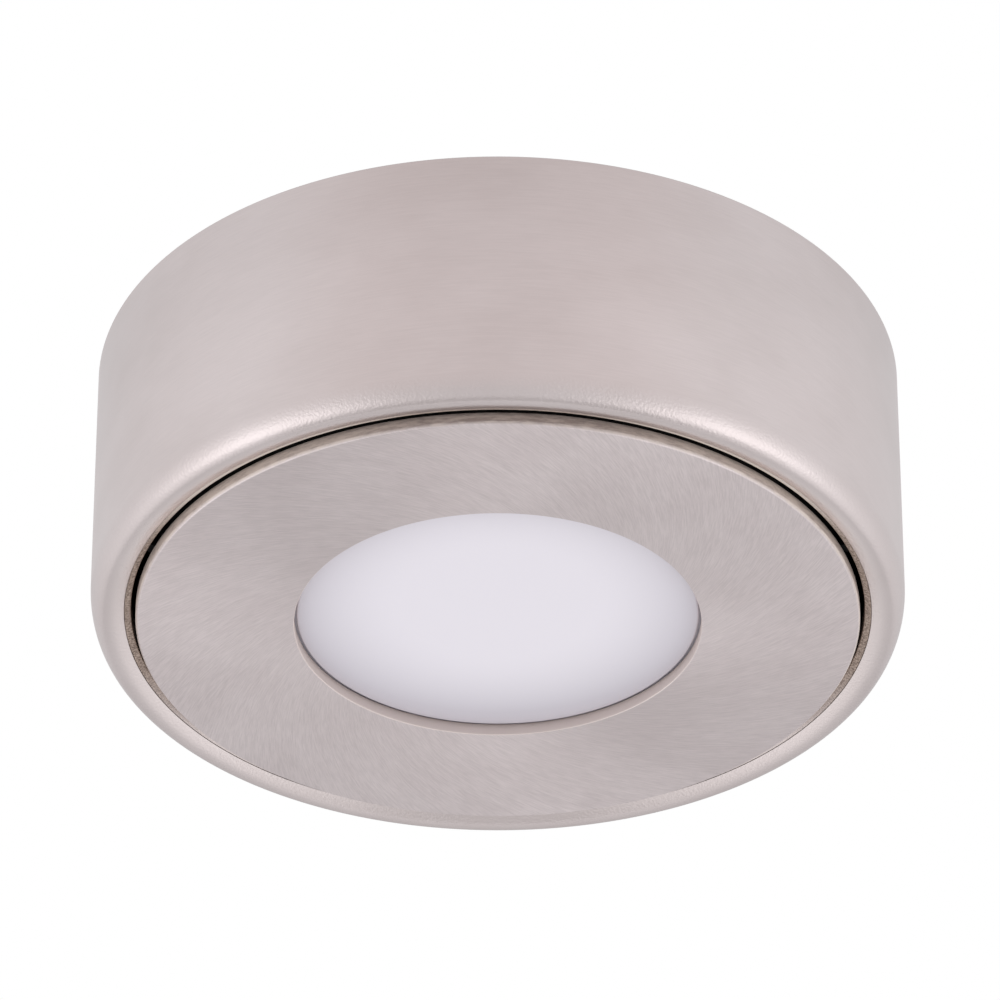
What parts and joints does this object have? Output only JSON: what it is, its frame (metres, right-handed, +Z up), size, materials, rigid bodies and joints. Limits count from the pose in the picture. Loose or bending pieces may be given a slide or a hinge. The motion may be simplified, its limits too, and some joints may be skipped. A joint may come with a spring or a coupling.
{
  "type": "led cabinet light",
  "caption": "Round surface-mounted cabinet light: brushed nickel housing with a rounded rim, flat face ring and recessed opal lens, fixed by its flat back.",
  "frame": {"origin": "centre of the face ring's front, the lowest plane of the light", "axes": "+Z up to the cabinet, along the light's axis; the light shines along -Z; the lead's way out is at +Y"},
  "size_m": [0.072, 0.072, 0.0255],
  "materials": {
    "housing_nickel": "nickel plated, brushed round the wall",
    "face_nickel": "nickel plated, brushed in arcs",
    "opal_acrylic": "opal, satin",
    "white_plastic": "matt",
    "black_plastic": "moulded, fine texture",
    "cast_aluminium": "as cast",
    "board_white": "white solder resist",
    "led_phosphor": "satin",
    "grey_silicone": "soft, matt",
    "black_rubber": "matt",
    "spring_steel": "rolled",
    "zinc_steel": "zinc plated",
    "green_plastic": "moulded",
    "red_cable": "satin",
    "black_cable": "satin"
  },
  "bodies": {
    "root": {"housing_shell": "housing_nickel", "face_ring": "face_nickel", "opal_lens": "opal_acrylic", "reflector_ring": "white_plastic", "led_board": "board_white", "thermal_pad": "grey_silicone", "lamp_body": "cast_aluminium", "rear_cover": "black_plastic", "mounting_base": "black_plastic", "lead_gland": "black_rubber", "terminal_block": "green_plastic", "inner_wire_1": "red_cable", "inner_wire_2": "black_cable", "led_01": "led_phosphor", "led_02": "led_phosphor", "led_03": "led_phosphor", "led_04": "led_phosphor", "led_05": "led_phosphor", "led_06": "led_phosphor", "led_07": "led_phosphor", "led_08": "led_phosphor", "led_09": "led_phosphor", "led_10": "led_phosphor", "led_11": "led_phosphor", "led_12": "led_phosphor", "shell_screw_1": "zinc_steel", "shell_screw_2": "zinc_steel", "shell_screw_3": "zinc_steel", "face_screw_1": "zinc_steel", "face_screw_2": "zinc_steel", "face_screw_3": "zinc_steel", "cover_screw_1": "zinc_steel", "cover_screw_2": "zinc_steel", "cover_screw_3": "zinc_steel", "board_screw_1": "zinc_steel", "board_screw_2": "zinc_steel", "board_screw_3": "zinc_steel", "terminal_screw_1": "zinc_steel", "terminal_screw_2": "zinc_steel", "spring_clip_1": "spring_steel", "clip_rivet_1": "zinc_steel", "spring_clip_2": "spring_steel", "clip_rivet_2": "zinc_steel", "spring_clip_3": "spring_steel", "clip_rivet_3": "zinc_steel"}
  },
  "joints": []
}
